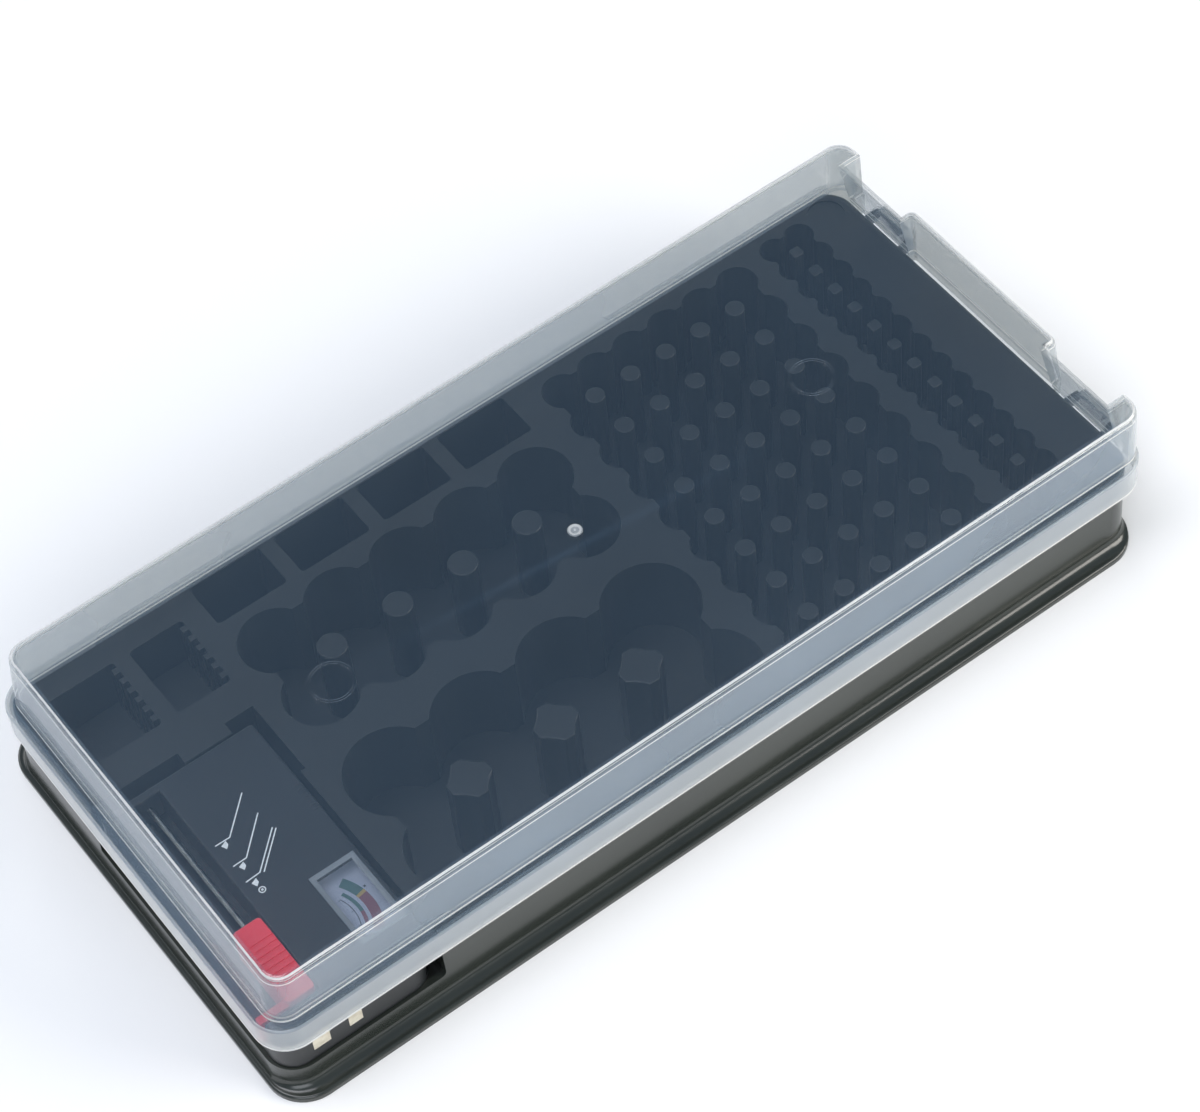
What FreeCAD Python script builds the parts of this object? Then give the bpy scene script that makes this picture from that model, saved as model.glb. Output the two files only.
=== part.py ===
import FreeCAD, Part
import math
import os

# Battery storage case: a black moulded tray lies flat, a clear lid hinges on its short end,
# and a battery tester lies in a bay at the near left corner of the tray.
# Millimetres, +Z up, origin at the bottom centre of the closed case.
# X runs along the case towards the hinge, Y across it, and the tester is at -X, -Y.

Vector = FreeCAD.Vector
os.makedirs("parts", exist_ok=True)

# Cells that the tray holds
d_cell_length = 61.5
aa_cell_diameter = 14.5
aaa_cell_diameter = 10.5
c_cell_diameter = 26.2
d_cell_diameter = 34.2
nine_volt_width = 26.5
nine_volt_depth = 17.5
aa_play_x = 1.25
aaa_play = 0.8
c_play = 1.3
d_play = 1.5
nine_volt_play_x = 2.3
nine_volt_play_y = 1.4
height_play = 0.1

# How many cells lie in each block
aa_columns = 6
aa_rows = 9
aaa_columns = 2
aaa_rows = 14
c_columns = 5
c_rows = 2
d_columns = 4
d_rows = 2
nine_volt_count = 4

# Tray walls and levels
wall = 1.6
tub_wall = 1.4
floor_wall = 1.1
deck_height = 38.2
flange_height = 2.6
flange_reach = 7.0
flange_reach_left = 3.6
flange_reach_hinge = 0.0
flange_edge_round = 1.1
flange_flat = 1.5
cove_height = 3.5
wall_draft = 1.2
rim_corner = 10.8
flange_corner = 14.5
rim_round = 1.0
band_cover = 10.8
overrun = 5.0
gap = 0.3
same_place = 0.001

# Spaces between the blocks, along the case from its left rim
bay_to_d = 6.8
d_to_aa = 6.3
aa_to_aaa = 6.7
aaa_to_rim = 19.1
aa_side_margin = 6.65
aaa_side_margin = 6.1

# Spaces between the blocks, across the case from its near rim
near_to_d = 6.4
d_to_c = 10.4
c_to_nine_volt = 4.6
nine_volt_to_far = 3.4

# Wells and posts
rib_reach_share = 0.55
cell_slack = 0.1
aa_post_diameter = 7.2
aaa_post_side = 4.5
aaa_post_corner = 1.2
c_post_diameter = 10.9
d_post_side = 16.5
d_post_corner = 1.0
d_post_hollow = 9.0
d_post_play = 0.6
pocket_corner = 1.5
nine_volt_spacing = 6.2
button_depth = 22.0
button_shares = (0.1845, 0.593, 0.6924, 1.0347)
bay_to_button = 13.55
button_to_far = 12.6
tooth_margin = 1.25
tooth_count = 6
tooth_reach = 2.2
tooth_width = 2.4
dimple_radius = 7.2
dimple_depth = 0.8
dimple_from_hinge = 11.0
dimple_from_far = 10.4

# Tester bay
bay_depth = 25.8
bay_side_play = 2.1
bay_tab_play = 0.55
bay_finger_room = 5.35
bay_tab_shares = (0.5505, 0.85)
bay_finger_length = 32.1
bay_finger_width = 1.9
bay_corner = 2.0

# Hinge: two bars on the tray, two hooks on the lid
hinge_reach = 5.8
hinge_drop = 3.9
bar_radius = 1.7
loop_inner = 45.0
loop_outer = 66.7
loop_arm = 2.5
loop_arm_height = 3.6
hook_play = 0.3
hook_wall = 1.4
hook_end_play = 1.0
hook_mouth_angle = 100.0
hook_mouth_turn = 225.0

# Lid
lid_top_wall = 1.1
lid_wall = 1.4
lid_inset = 1.5
lid_draft = 0.5
lid_draft_left = 3.1
lid_draft_hinge = 1.4
lid_corner = 8.5
lid_top_corner = 7.5
lid_edge_round = 2.6
lid_inner_round = 1.3
band_play = 0.5
band_play_left = 1.0
ledge_wall = 1.4
band_round = 1.0
ear_reach = 4.9
band_hinge_reach = 5.6
band_hinge_rise = 1.8
recess_depth = 4.8
recess_half_width = 72.6
bump_half_width = 41.4
bump_reach = 4.1
bump_draft = 2.9
bump_side_draft = 1.6
bump_corner = 3.0
emboss_radius = 8.2
emboss_width = 0.9
emboss_height = 0.3
emboss_spacing = 202.4
emboss_x = 1.9
emboss_y = 1.5

# Tester: overall, shells and trough for the cell under test
tester_width = 60.8
tester_length = 106.5
tester_wall = 1.8
trough_width_share = 0.3536
trough_floor_share = 0.451
shell_split_share = 0.62
tester_left_inset = 0.5
tester_near_inset = 0.2
tester_top_drop = 0.3
near_block_length = 7.2
far_block_length = 3.0
tester_corner = 9.5
tester_edge_round = 0.8
block_corner = 1.5
far_corner = 1.0

# Tester: slider, rail, spring and contacts
rail_diameter = 2.0
rail_play = 0.08
rail_inset = 4.9
rail_share = 0.73
slider_length = 33.0
slider_width = 10.9
slider_top_rise = 0.7
slider_side_play = 0.4
slider_plate = 3.0
slider_plate_share = 0.949
slider_foot_reach = 0.6
grip_count = 7
grip_depth = 0.7
grip_width = 1.3
slot_width = 2.6
tab_width = 1.8
tab_length = 4.0
tab_drop_share = 0.216
contact_thickness = 0.5
contact_width_share = 0.4186
contact_height_share = 0.392
spring_wire = 0.6
spring_radius = 2.4
spring_turns = 18
anchor_diameter = 2.4
nine_volt_tab_bottom_share = 0.235
nine_volt_tab_height_share = 0.369
nine_volt_tab_wide = 6.6
nine_volt_tab_narrow = 5.2
nine_volt_centres = 13.3
nine_volt_tab_from_left = 15.0
tab_recess = 0.3

# Tester: meter
window_from_right = 1.6
window_width_share = 0.2944
window_length_share = 0.2995
window_from_near = 27.25
window_pane = 1.2
window_lip = 1.0
pivot_to_window_share = 0.1398
dial_margin = 0.4
dial_share = 0.753
bridge_share = 0.667
needle_share = 0.808
needle_reach_share = 0.726
dial_thickness = 0.5
dial_hole = 3.0
needle_thickness = 0.4
needle_width = 1.0
needle_tail = 5.0
needle_hub = 2.2
needle_zero = -42.0
pivot_radius = 0.6
pivot_play = 0.04
meter_share = 0.1382
magnet_radius_share = 0.381
magnet_height_share = 0.314
coil_inner_share = 0.5
coil_wire_share = 0.119
yoke_inner_share = 0.762
coil_gap = 0.8
yoke_base = 1.5
bridge_width = 5.0
bridge_thickness = 1.2
frame_leg = 3.0

# Tester: board, resistors and screws
board_width_share = 0.4276
board_length_share = 0.3192
board_from_far = 27.85
board_share = 0.22
board_thickness = 1.6
standoff_diameter = 5.0
resistor_radius = 1.6
resistor_length = 8.0
resistor_count = 3
screw_radius = 1.3
screw_head_radius = 2.5
screw_head_height = 1.6
screw_boss_radius = 3.0
screw_inset = 5.2

# Levels worked out from the cells and walls
case_height = floor_wall + d_cell_length + height_play + lid_top_wall
deck_under = deck_height - wall
band_bottom = deck_height - band_cover
cove_top = flange_height + cove_height
hinge_z = deck_height - hinge_drop

# Tester's height and the levels in it
bay_width = tester_left_inset + tester_width + bay_side_play
bay_floor = deck_height - bay_depth
tester_top = deck_height - tester_top_drop
tester_height = tester_top - bay_floor
floor_inside = bay_floor + tester_wall
trough_floor = bay_floor + tester_height * trough_floor_share
shell_split = bay_floor + tester_height * shell_split_share
rail_height = bay_floor + tester_height * rail_share
slider_plate_top = bay_floor + tester_height * slider_plate_share
tab_drop = tester_height * tab_drop_share
contact_height = tester_height * contact_height_share
nine_volt_tab_bottom = bay_floor + tester_height * nine_volt_tab_bottom_share
nine_volt_tab_height = tester_height * nine_volt_tab_height_share
board_level = bay_floor + tester_height * board_share
bridge_level = bay_floor + tester_height * bridge_share
dial_level = bay_floor + tester_height * dial_share
needle_level = bay_floor + tester_height * needle_share
magnet_height = tester_height * magnet_height_share

# Pitches and block sizes
aa_pitch = aa_cell_diameter + aa_play_x
aaa_pitch = aaa_cell_diameter + aaa_play
c_pitch = c_cell_diameter + c_play
d_pitch = d_cell_diameter + d_play
nine_volt_x = nine_volt_width + nine_volt_play_x
nine_volt_y = nine_volt_depth + nine_volt_play_y
tray_width = near_to_d + d_rows * d_pitch + d_to_c + c_rows * c_pitch + c_to_nine_volt + nine_volt_y
tray_width = tray_width + nine_volt_to_far
tray_length = bay_width + bay_to_d + d_columns * d_pitch + d_to_aa + aa_columns * aa_pitch
tray_length = tray_length + aa_to_aaa + aaa_columns * aaa_pitch + aaa_to_rim
half_width = tray_width / 2
aa_pitch_y = (tray_width - 2 * aa_side_margin) / aa_rows
aaa_pitch_y = (tray_width - 2 * aaa_side_margin) / aaa_rows

# Places along the case, measured from the bottom centre of the closed case
hook_outer = bar_radius + hook_play + hook_wall
overall_length = flange_reach_left + tray_length + hinge_reach + hook_outer
rim_left = flange_reach_left - overall_length / 2
rim_right = rim_left + tray_length
bay_right = rim_left + bay_width
d_block_x = bay_right + bay_to_d + d_columns * d_pitch / 2
aa_left = d_block_x + d_columns * d_pitch / 2 + d_to_aa
aa_block_x = aa_left + aa_columns * aa_pitch / 2
aaa_block_x = aa_left + aa_columns * aa_pitch + aa_to_aaa + aaa_columns * aaa_pitch / 2
hinge_x = rim_right + hinge_reach

# Places across the case
d_block_y = near_to_d + d_rows * d_pitch / 2 - half_width
c_near = near_to_d + d_rows * d_pitch + d_to_c - half_width
c_block_y = c_near + c_rows * c_pitch / 2
nine_volt_block_y = half_width - nine_volt_to_far - nine_volt_y / 2

# Tester's outline, and the bay and button pockets that follow it
tester_left = rim_left + tester_left_inset
tester_near = tester_near_inset - half_width
tester_right = tester_left + tester_width
tester_far = tester_near + tester_length
bay_tab = tester_far + bay_tab_play
bay_far = tester_far + bay_finger_room
bay_finger_from = bay_far - bay_finger_length
bay_tab_from, bay_tab_to = [rim_left + bay_width * share for share in bay_tab_shares]
button_near = bay_far + bay_to_button
button_far = half_width - button_to_far
button_sides = [rim_left + bay_width * share for share in button_shares]
tooth_pitch = (button_far - button_near - 2 * tooth_margin) / tooth_count

rim_box = (rim_left, -half_width, rim_right, half_width)
inner_box = (rim_left + wall, wall - half_width, rim_right - wall, half_width - wall)
flange_box = (rim_left - flange_reach_left, -half_width - flange_reach,
              rim_right + flange_reach_hinge, half_width + flange_reach)


def grow(box, amount):
    # The same rectangle with every side moved outward by an amount.
    return (box[0] - amount, box[1] - amount, box[2] + amount, box[3] + amount)


def blend(first, second, share):
    # A rectangle part of the way from one to another.
    return tuple(a + (b - a) * share for a, b in zip(first, second))


def centred_box(x, y, width, length):
    return (x - width / 2, y - length / 2, x + width / 2, y + length / 2)


def rounded_wire(box, radius, z):
    # A rectangle with round corners, as four lines and four arcs.
    x0, y0, x1, y1 = box
    centres = ((x1 - radius, y1 - radius), (x0 + radius, y1 - radius),
               (x0 + radius, y0 + radius), (x1 - radius, y0 + radius))
    arcs = []
    for quarter, (x, y) in enumerate(centres):
        ends = [math.radians(90 * quarter + turn) for turn in (0, 45, 90)]
        arcs.append([Vector(x + radius * math.cos(a), y + radius * math.sin(a), z) for a in ends])
    edges = []
    for index, arc in enumerate(arcs):
        edges.append(Part.Arc(arc[0], arc[1], arc[2]).toShape())
        following = arcs[(index + 1) % len(arcs)]
        edges.append(Part.LineSegment(arc[2], following[0]).toShape())
    return Part.Wire(edges)


def slab(box, radius, low, high):
    # A flat block with round upright corners between two levels.
    if radius == 0:
        return block(box, low, high)
    return Part.Face(rounded_wire(box, radius, low)).extrude(Vector(0, 0, high - low))


def block(box, low, high):
    return Part.makeBox(box[2] - box[0], box[3] - box[1], high - low, Vector(box[0], box[1], low))


def taper(low_box, low_radius, low, high_box, high_radius, high):
    # A block whose walls lean evenly from one rectangle to another.
    wires = [rounded_wire(low_box, low_radius, low), rounded_wire(high_box, high_radius, high)]
    return Part.makeLoft(wires, True, True)


def upright(x, y, radius, low, high):
    return Part.makeCylinder(radius, high - low, Vector(x, y, low))


def fuse_all(shapes):
    whole = shapes[0]
    if len(shapes) > 1:
        whole = whole.fuse(shapes[1:])
    return whole.removeSplitter()


def round_level_edges(shape, level, radius):
    # Rounds every edge that lies flat at one level.
    chosen = []
    for edge in shape.Edges:
        box = edge.BoundBox
        if abs(box.ZMin - level) < same_place and abs(box.ZMax - level) < same_place:
            chosen.append(edge)
    return shape.makeFillet(radius, chosen)


def save(name, *solids):
    # Writes one node, as one solid or as a group of separate solids.
    shape = solids[0] if len(solids) == 1 else Part.makeCompound(list(solids))
    shape.exportStep("parts/" + name + ".step")


# Wells: the scalloped holes that cells stand in, with ribs between the outer cells

def cell_places(x, y, columns, rows, pitch_x, pitch_y):
    places = []
    for column in range(columns):
        for row in range(rows):
            place_x = x + (column - (columns - 1) / 2) * pitch_x
            place_y = y + (row - (rows - 1) / 2) * pitch_y
            places.append((place_x, place_y))
    return places


def scalloped_well(x, y, columns, rows, pitch_x, pitch_y):
    # Circles at the outer cells, joined by a plain rectangle short of their outer sides.
    radius = pitch_x / 2 - cell_slack / 2
    reach = radius * rib_reach_share
    span_x = (columns - 1) * pitch_x + 2 * reach
    span_y = (rows - 1) * pitch_y + 2 * reach
    pieces = [block(centred_box(x, y, span_x, span_y), floor_wall, deck_height + overrun)]
    places = cell_places(x, y, columns, rows, pitch_x, pitch_y)
    for index, (cell_x, cell_y) in enumerate(places):
        column, row = divmod(index, rows)
        if column in (0, columns - 1) or row in (0, rows - 1):
            pieces.append(upright(cell_x, cell_y, radius, floor_wall, deck_height + overrun))
    return fuse_all(pieces)


def tub(x, y, columns, rows, pitch_x, pitch_y, well, posts):
    # The moulded walls and floor round one block of cells, under the deck.
    outline = centred_box(x, y, columns * pitch_x, rows * pitch_y)
    radius = pitch_x / 2 + tub_wall
    body = slab(grow(outline, tub_wall), radius, 0, deck_under).cut(well)
    return body.cut(posts) if posts else body


def round_post(x, y, diameter):
    # A hollow post, open underneath, whose top is level with the deck.
    outside = upright(x, y, diameter / 2, 0, deck_height)
    return outside.cut(upright(x, y, diameter / 2 - tub_wall, -overrun, deck_under))


aa_well = scalloped_well(aa_block_x, 0, aa_columns, aa_rows, aa_pitch, aa_pitch_y)
aaa_well = scalloped_well(aaa_block_x, 0, aaa_columns, aaa_rows, aaa_pitch, aaa_pitch_y)
c_well = scalloped_well(d_block_x, c_block_y, c_columns, c_rows, c_pitch, c_pitch)
d_well = scalloped_well(d_block_x, d_block_y, d_columns, d_rows, d_pitch, d_pitch)

aa_post_places = cell_places(aa_block_x, 0, aa_columns - 1, aa_rows - 1, aa_pitch, aa_pitch_y)
aaa_post_places = cell_places(aaa_block_x, 0, aaa_columns - 1, aaa_rows - 1, aaa_pitch, aaa_pitch_y)
c_post_places = cell_places(d_block_x, c_block_y, c_columns - 1, c_rows - 1, c_pitch, c_pitch)
d_post_places = cell_places(d_block_x, d_block_y, d_columns - 1, d_rows - 1, d_pitch, d_pitch)


def aaa_post(x, y):
    outline = centred_box(x, y, aaa_post_side, aaa_post_side)
    return slab(outline, aaa_post_corner, 0, deck_height)


def d_post(x, y):
    # A square post whose sides are hollowed to follow the four cells round it.
    post = slab(centred_box(x, y, d_post_side, d_post_side), d_post_corner, 0, deck_height)
    cutter = d_pitch / 2 + d_post_play
    cells = [upright(cx, cy, cutter, -overrun, deck_height + overrun)
             for cx, cy in cell_places(x, y, 2, 2, d_pitch, d_pitch)]
    return post.cut(cells)


aa_posts = [round_post(x, y, aa_post_diameter) for x, y in aa_post_places]
aaa_posts = [aaa_post(x, y) for x, y in aaa_post_places]
c_posts = [round_post(x, y, c_post_diameter) for x, y in c_post_places]
d_solid_posts = [d_post(x, y) for x, y in d_post_places]
d_posts = [post.cut(upright(x, y, d_post_hollow / 2, -overrun, deck_under))
           for post, (x, y) in zip(d_solid_posts, d_post_places)]
aa_post_holes = [upright(x, y, aa_post_diameter / 2, -overrun, deck_height) for x, y in aa_post_places]
c_post_holes = [upright(x, y, c_post_diameter / 2, -overrun, deck_height) for x, y in c_post_places]

aa_tub = tub(aa_block_x, 0, aa_columns, aa_rows, aa_pitch, aa_pitch_y, aa_well, aa_post_holes)
aaa_tub = tub(aaa_block_x, 0, aaa_columns, aaa_rows, aaa_pitch, aaa_pitch_y, aaa_well, aaa_posts)
c_tub = tub(d_block_x, c_block_y, c_columns, c_rows, c_pitch, c_pitch, c_well, c_post_holes)
d_tub = tub(d_block_x, d_block_y, d_columns, d_rows, d_pitch, d_pitch, d_well, d_solid_posts)


# Pockets for nine volt batteries and for button cells

def pocket(box, depth):
    return slab(box, pocket_corner, deck_height - depth, deck_height + overrun)


def pocket_tub(box, depth, hole):
    outer = slab(grow(box, tub_wall), pocket_corner + tub_wall, deck_height - depth - floor_wall, deck_under)
    return outer.cut(hole)


nine_volt_boxes = []
for index in range(nine_volt_count):
    place = (index - (nine_volt_count - 1) / 2) * (nine_volt_x + nine_volt_spacing)
    nine_volt_boxes.append(centred_box(d_block_x + place, nine_volt_block_y, nine_volt_x, nine_volt_y))
nine_volt_depth_down = deck_height - floor_wall
nine_volt_wells = [pocket(box, nine_volt_depth_down) for box in nine_volt_boxes]
nine_volt_tubs = [pocket_tub(box, nine_volt_depth_down, hole)
                  for box, hole in zip(nine_volt_boxes, nine_volt_wells)]


def button_pocket(box):
    # A shallow pocket with a row of teeth along its hinge side, between which button cells stand.
    teeth = []
    for index in range(tooth_count):
        y = (box[1] + box[3]) / 2 + (index - (tooth_count - 1) / 2) * tooth_pitch
        tooth_box = (box[2] - tooth_reach, y - tooth_width / 2, box[2] + overrun, y + tooth_width / 2)
        teeth.append(block(tooth_box, 0, deck_height + 2 * overrun))
    return pocket(box, button_depth).cut(teeth)


button_boxes = [(button_sides[0], button_near, button_sides[1], button_far),
                (button_sides[2], button_near, button_sides[3], button_far)]
button_wells = [button_pocket(box) for box in button_boxes]
button_tubs = [pocket_tub(box, button_depth, hole) for box, hole in zip(button_boxes, button_wells)]

# Tester bay, open through the near and left walls of the tray
bay_open = (rim_left - overrun - flange_reach, -half_width - overrun - flange_reach)


def bay_boxes():
    left, near = bay_open
    return [(left, near, bay_right, bay_tab),
            (left, near, bay_tab_from, bay_far),
            (bay_tab_to, bay_finger_from, bay_right + bay_finger_width, bay_far)]


def bay_space():
    pieces = [block(box, bay_floor, deck_height + overrun) for box in bay_boxes()]
    corner = []
    for edge in pieces[0].Edges:
        box = edge.BoundBox
        if abs(box.XMin - bay_right) < same_place and abs(box.ZMax - bay_floor) < same_place:
            corner.append(edge)
    pieces[0] = pieces[0].makeFillet(bay_corner, corner)
    return fuse_all(pieces)


bay = bay_space()
inner_corner = rim_corner - wall
inside = slab(inner_box, inner_corner, -overrun, deck_height + overrun)
bay_walls = fuse_all([block(grow(box, tub_wall), bay_floor - tub_wall, deck_under) for box in bay_boxes()])
tester_bay = bay_walls.common(inside).cut(bay)


# Tray shell: foot flange, hollow cove, leaning wall and rim, with the hinge loops on its end

def cove(wall_box, wall_corner, foot_box, foot_corner, low, high, steps):
    # A quarter round hollow, as thin leaning bands whose edges lie on an arc.
    bands = []
    for step in range(steps):
        turns = [math.radians(90 * (step + more) / steps) for more in (1, 0)]
        sections = []
        for turn in turns:
            out = 1 - math.cos(turn)
            up = 1 - math.sin(turn)
            corner = wall_corner + (foot_corner - wall_corner) * out
            sections.append(rounded_wire(blend(wall_box, foot_box, out), corner, low + (high - low) * up))
        bands.append(Part.makeLoft(sections, True, True))
    return bands


cove_steps = 6
wall_foot = (rim_left - wall_draft, -half_width - wall_draft, rim_right, half_width + wall_draft)
wall_foot_corner = rim_corner + wall_draft
flange_top_box = (flange_box[0] + flange_flat, flange_box[1] + flange_flat,
                  rim_right, flange_box[3] - flange_flat)


def hinge_loop(side):
    # A bar held between two arms, standing out from the end wall.
    near, far = sorted((side * loop_inner, side * loop_outer))
    arm_low = hinge_z - loop_arm_height / 2
    arm_high = hinge_z + loop_arm_height / 2
    arms = [(near, near + loop_arm), (far - loop_arm, far)]
    pieces = [block((rim_right - wall / 2, y0, hinge_x, y1), arm_low, arm_high) for y0, y1 in arms]
    for y0, y1 in arms:
        ends = Part.makeCylinder(loop_arm_height / 2, y1 - y0, Vector(hinge_x, y0, hinge_z), Vector(0, 1, 0))
        pieces.append(ends.common(block((rim_right, y0, hinge_x + bar_radius, y1), arm_low, arm_high)))
    pieces.append(Part.makeCylinder(bar_radius, far - near, Vector(hinge_x, near, hinge_z), Vector(0, 1, 0)))
    return pieces


def tray_shell():
    foot = slab(flange_box, flange_corner, 0, flange_height)
    pieces = [round_level_edges(foot, flange_height, flange_edge_round)]
    pieces += cove(wall_foot, wall_foot_corner, flange_top_box, flange_corner - flange_flat,
                   flange_height, cove_top, cove_steps)
    pieces.append(taper(wall_foot, wall_foot_corner, cove_top, rim_box, rim_corner, band_bottom))
    rim = round_level_edges(slab(rim_box, rim_corner, band_bottom, deck_height), deck_height, rim_round)
    pieces.append(rim)
    shell = fuse_all(pieces).cut(inside).cut(bay)
    loops = hinge_loop(1) + hinge_loop(-1)
    return fuse_all([shell] + loops)


dimple = upright(rim_right - dimple_from_hinge, half_width - dimple_from_far, dimple_radius,
                 deck_height - dimple_depth, deck_height + overrun)
deck = slab(inner_box, inner_corner, deck_under, deck_height)
deck = deck.cut([aa_well, aaa_well, c_well, d_well, bay, dimple] + nine_volt_wells + button_wells)

# Lid
upper_low = (rim_left + lid_inset, lid_inset - half_width, rim_right + ear_reach, half_width - lid_inset)
upper_high = (upper_low[0] + lid_draft_left, upper_low[1] + lid_draft,
              upper_low[2] - lid_draft_hinge, upper_low[3] - lid_draft)
band_box = (rim_left - band_play_left - lid_wall, -half_width - band_play - lid_wall,
            rim_right + band_hinge_reach, half_width + band_play + lid_wall)
recess_top_x = rim_right - recess_depth
recess_foot_x = rim_right + lid_wall
recess_lean = (recess_top_x - recess_foot_x) / (case_height - deck_height)
ledge_top = deck_height + ledge_wall
far_right = rim_right + hinge_reach + overrun + overrun


def recess_space(inward, half):
    # The space of both recesses, behind a plane that leans in from the rim towards the top.
    foot = recess_foot_x - inward
    top = recess_top_x - inward + recess_lean * overrun
    high = case_height + overrun
    outline = [(foot, 0), (foot, deck_height), (top, high), (far_right, high), (far_right, 0)]
    corners = [Vector(x, -half, z) for x, z in outline]
    face = Part.Face(Part.makePolygon(corners + corners[:1]))
    return face.extrude(Vector(0, 2 * half, 0))


def bump_solid(inward, low, high):
    # The bump between the recesses, its sides and its end leaning in towards the top.
    start = recess_top_x - lid_edge_round - lid_inner_round
    foot_half = bump_half_width - inward
    top_half = foot_half - bump_side_draft
    foot_end = rim_right + bump_reach - inward
    corner = bump_corner - inward
    solid = taper((start, -foot_half, foot_end, foot_half), corner, low,
                  (start, -top_half, foot_end - bump_draft, top_half), corner, high)
    return round_level_edges(solid, high, lid_edge_round - inward)


def lid_outside():
    # The upper box with its drafted walls, cut back where the hinge hooks are.
    box = taper(upper_low, lid_corner, deck_height, upper_high, lid_top_corner, case_height)
    box = round_level_edges(box, case_height, lid_edge_round)
    box = box.cut(recess_space(0, recess_half_width))
    return fuse_all([box, bump_solid(0, deck_height + gap, case_height)])


def lid_inside():
    # The hollow of the upper box, with the walls behind the recesses left standing.
    low = grow(upper_low, -lid_wall)
    high = grow(upper_high, -lid_wall)
    inner_top = case_height - lid_top_wall
    box = taper(low, lid_corner - lid_wall, deck_height - same_place,
                high, lid_top_corner - lid_wall, inner_top)
    box = round_level_edges(box, inner_top, lid_inner_round)
    box = box.cut(recess_space(lid_wall, recess_half_width + lid_wall))
    return fuse_all([box, bump_solid(lid_wall, deck_height - overrun, inner_top)])


def lid_band():
    # The ledge that rests on the rim, and the band that hangs from it round the tray.
    corner = rim_corner + band_play + lid_wall
    outside = slab(band_box, corner, band_bottom, ledge_top)
    outside = round_level_edges(outside, ledge_top, band_round)
    hollow = slab(grow(band_box, -lid_wall), corner - lid_wall, band_bottom - overrun, deck_height)
    opening = slab(grow(upper_low, -lid_wall), lid_corner - lid_wall, band_bottom, ledge_top + overrun)
    band = outside.cut([hollow, opening])
    half = recess_half_width
    band = band.cut(block((recess_foot_x - lid_wall, -half, far_right, half), 0, case_height))
    end = (rim_right + gap, -half_width, far_right, half_width)
    return band.cut(block(end, 0, band_bottom + band_hinge_rise))


def bump_apron():
    # The lower edge of the bump, which hangs behind the end of the tray.
    outer = (recess_top_x, -bump_half_width, rim_right + bump_reach, bump_half_width)
    outside = slab(outer, bump_corner, hinge_z, deck_height + lid_wall)
    behind_tray = (rim_right + gap, -half_width, far_right, half_width)
    hollow = slab(grow(outer, -lid_wall), bump_corner - lid_wall, 0, case_height)
    return outside.common(block(behind_tray, 0, case_height)).cut(hollow)


def hinge_hook(side):
    # A plate from the recess wall to a hook that wraps the bar.
    near, far = sorted((side * (loop_inner + loop_arm + hook_end_play),
                        side * (loop_outer - loop_arm - hook_end_play)))
    inner = bar_radius + hook_play
    width = far - near
    outline = (recess_foot_x - lid_wall, near, hinge_x + bar_radius, far)
    plate = block(outline, deck_height + gap, ledge_top + gap)
    web = block((hinge_x - bar_radius, near, hinge_x + bar_radius, far), hinge_z, ledge_top)
    axis_start = Vector(hinge_x, near, hinge_z)
    ring = Part.makeCylinder(hook_outer, width, axis_start, Vector(0, 1, 0))
    bore_start = Vector(hinge_x, near - overrun, hinge_z)
    bore = Part.makeCylinder(inner, width + 2 * overrun, bore_start, Vector(0, 1, 0))
    mouth = hook_mouth(near - overrun, width + 2 * overrun, hook_outer)
    return fuse_all([plate, web, ring]).cut([bore, mouth])


def hook_mouth(start, width, reach):
    # A wedge seen along the bar, where the hook is open to press on.
    corners = [Vector(hinge_x, start, hinge_z)]
    for turn in (-hook_mouth_angle / 2, 0, hook_mouth_angle / 2):
        angle = math.radians(hook_mouth_turn + turn)
        length = 2 * reach
        corners.append(Vector(hinge_x + length * math.cos(angle), start, hinge_z + length * math.sin(angle)))
    face = Part.Face(Part.makePolygon(corners + corners[:1]))
    return face.extrude(Vector(0, width, 0))


def emboss(x, y):
    # A low moulded ring on the lid.
    outside = upright(x, y, emboss_radius, case_height - lid_top_wall / 2, case_height + emboss_height)
    return outside.cut(upright(x, y, emboss_radius - emboss_width, 0, case_height + overrun))


def lid_shape():
    shell = lid_outside().cut(lid_inside())
    extra = [lid_band(), bump_apron(), hinge_hook(1), hinge_hook(-1)]
    extra += [emboss(emboss_x + side * emboss_spacing / 2, emboss_y) for side in (-1, 1)]
    return fuse_all([shell] + extra)


# Tester
block_left = tester_left + tester_width * trough_width_share
contact_width = (block_left - tester_left) * contact_width_share
near_block_far = tester_near + near_block_length
far_block_near = tester_far - far_block_length
tester_box = (tester_left, tester_near, tester_right, tester_far)
main_box = (block_left, tester_near, tester_right, tester_far)
near_box = (tester_left, tester_near, block_left + tester_corner, near_block_far)
far_box = (tester_left, far_block_near, block_left + tester_corner, tester_far)
rail_x = block_left - rail_inset
screw_places = [(block_left + screw_inset, tester_near + screw_inset),
                (tester_right - screw_inset, tester_near + screw_inset),
                (block_left + screw_inset, tester_far - screw_inset),
                (tester_right - screw_inset, tester_far - screw_inset)]
window_right = tester_right - window_from_right
window_width = tester_width * window_width_share
window_length = tester_length * window_length_share
window_y = tester_near + window_from_near
window_box = (window_right - window_width, window_y - window_length / 2,
              window_right, window_y + window_length / 2)
pivot_x = window_box[0] - tester_width * pivot_to_window_share
needle_length = window_box[0] - pivot_x + window_width * needle_reach_share
yoke_outer = tester_width * meter_share
yoke_inner = yoke_outer * yoke_inner_share
magnet_radius = yoke_outer * magnet_radius_share
coil_inner = yoke_outer * coil_inner_share
coil_wire = yoke_outer * coil_wire_share
pivot_y = window_y
board_x = (block_left + tester_right) / 2
board_y = tester_far - board_from_far
board_width = tester_width * board_width_share
board_length = tester_length * board_length_share
resistor_pitch = board_length / (resistor_count + 2)
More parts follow.
